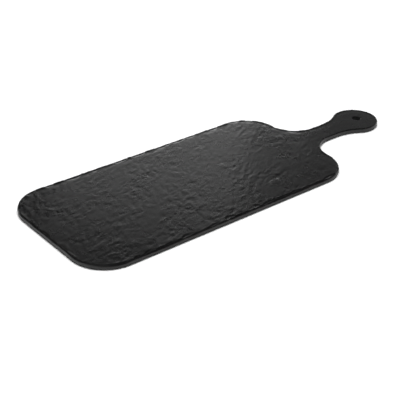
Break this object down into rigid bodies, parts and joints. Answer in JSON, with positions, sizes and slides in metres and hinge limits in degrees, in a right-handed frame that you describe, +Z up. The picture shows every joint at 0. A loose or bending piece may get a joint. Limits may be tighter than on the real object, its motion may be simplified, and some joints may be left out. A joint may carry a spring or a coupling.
{
  "type": "melamine serving tray",
  "caption": "Flat slate-look melamine serving tray in a paddle shape, with rounded corners, a flared handle, a hanging hole and anti-slip feet underneath.",
  "frame": {"origin": "below the middle of the overall length and width, on the surface that the feet stand on", "axes": "+X along the length towards the handle, +Y across it to the left as seen from the tail end, +Z up out of the serving face"},
  "size_m": [0.53, 0.2, 0.0072],
  "materials": {
    "melamine": "moulded riven-slate relief, satin black",
    "foot": "matt moulded",
    "adhesive": "matt film"
  },
  "bodies": {
    "root": {"board": "melamine", "foot_tail_left": "foot", "foot_tail_right": "foot", "foot_shoulder_left": "foot", "foot_shoulder_right": "foot", "adhesive_tail_left": "adhesive", "adhesive_tail_right": "adhesive", "adhesive_shoulder_left": "adhesive", "adhesive_shoulder_right": "adhesive"}
  },
  "joints": []
}
